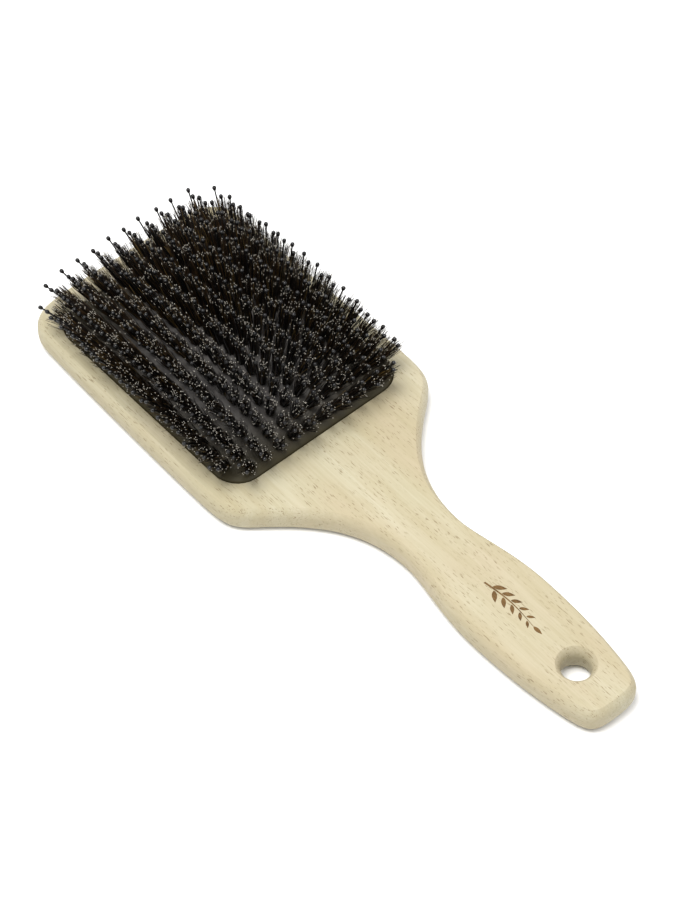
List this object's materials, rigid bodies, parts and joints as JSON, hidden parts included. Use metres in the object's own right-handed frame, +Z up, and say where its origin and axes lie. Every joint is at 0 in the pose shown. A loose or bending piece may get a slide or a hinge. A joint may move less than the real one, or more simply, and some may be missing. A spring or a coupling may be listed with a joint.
{
  "type": "vanity hairbrush",
  "caption": "Wooden paddle hairbrush with a hanging hole, a domed rubber cushion, and rows of bristle tufts and ball-tipped pins that give when pressed.",
  "frame": {"origin": "middle of the brush's box, on its back face", "axes": "+X along the brush towards the end of the handle, +Z up out of the face that carries the cushion"},
  "size_m": [0.2501, 0.091, 0.0334],
  "materials": {
    "beech": "fine sanded, unvarnished beech",
    "cushion_rubber": "matt dark grey rubber",
    "bristle": "dark natural boar bristle with a slight sheen",
    "pin_nylon": "glossy black nylon"
  },
  "bodies": {
    "paddle": {"paddle_body": "beech", "rubber_cushion": "cushion_rubber"},
    "rows_centre": {"tuft_row_06": "bristle", "pin_row_06": "pin_nylon", "tuft_row_07": "bristle", "pin_row_07": "pin_nylon"},
    "rows_out_1": {"tuft_row_05": "bristle", "pin_row_05": "pin_nylon", "tuft_row_08": "bristle", "pin_row_08": "pin_nylon"},
    "rows_out_2": {"tuft_row_04": "bristle", "pin_row_04": "pin_nylon", "tuft_row_09": "bristle", "pin_row_09": "pin_nylon"},
    "rows_out_3": {"tuft_row_03": "bristle", "pin_row_03": "pin_nylon", "tuft_row_10": "bristle", "pin_row_10": "pin_nylon"},
    "rows_out_4": {"tuft_row_02": "bristle", "pin_row_02": "pin_nylon", "tuft_row_11": "bristle", "pin_row_11": "pin_nylon"},
    "rows_out_5": {"tuft_row_01": "bristle", "pin_row_01": "pin_nylon", "tuft_row_12": "bristle", "pin_row_12": "pin_nylon"}
  },
  "joints": [
    {"name": "press_centre", "type": "slide", "parent": "paddle", "child": "rows_centre", "axis": [0, 0, -1], "range_m": [0, 0.0035], "stiffness_N_per_m": 800, "deforming": ["rubber_cushion"]},
    {"name": "press_out_1", "type": "slide", "parent": "paddle", "child": "rows_out_1", "axis": [0, 0, -1], "range_m": [0, 0.0034], "stiffness_N_per_m": 800, "deforming": ["rubber_cushion"]},
    {"name": "press_out_2", "type": "slide", "parent": "paddle", "child": "rows_out_2", "axis": [0, 0, -1], "range_m": [0, 0.00317], "stiffness_N_per_m": 800, "deforming": ["rubber_cushion"]},
    {"name": "press_out_3", "type": "slide", "parent": "paddle", "child": "rows_out_3", "axis": [0, 0, -1], "range_m": [0, 0.00282], "stiffness_N_per_m": 800, "deforming": ["rubber_cushion"]},
    {"name": "press_out_4", "type": "slide", "parent": "paddle", "child": "rows_out_4", "axis": [0, 0, -1], "range_m": [0, 0.0023], "stiffness_N_per_m": 800, "deforming": ["rubber_cushion"]},
    {"name": "press_out_5", "type": "slide", "parent": "paddle", "child": "rows_out_5", "axis": [0, 0, -1], "range_m": [0, 0.00152], "stiffness_N_per_m": 800, "deforming": ["rubber_cushion"]}
  ],
  "couplings": [
    {"joint": "press_out_1", "follows": "press_centre", "ratio": 0.97},
    {"joint": "press_out_2", "follows": "press_centre", "ratio": 0.907},
    {"joint": "press_out_3", "follows": "press_centre", "ratio": 0.807},
    {"joint": "press_out_4", "follows": "press_centre", "ratio": 0.658},
    {"joint": "press_out_5", "follows": "press_centre", "ratio": 0.433}
  ]
}
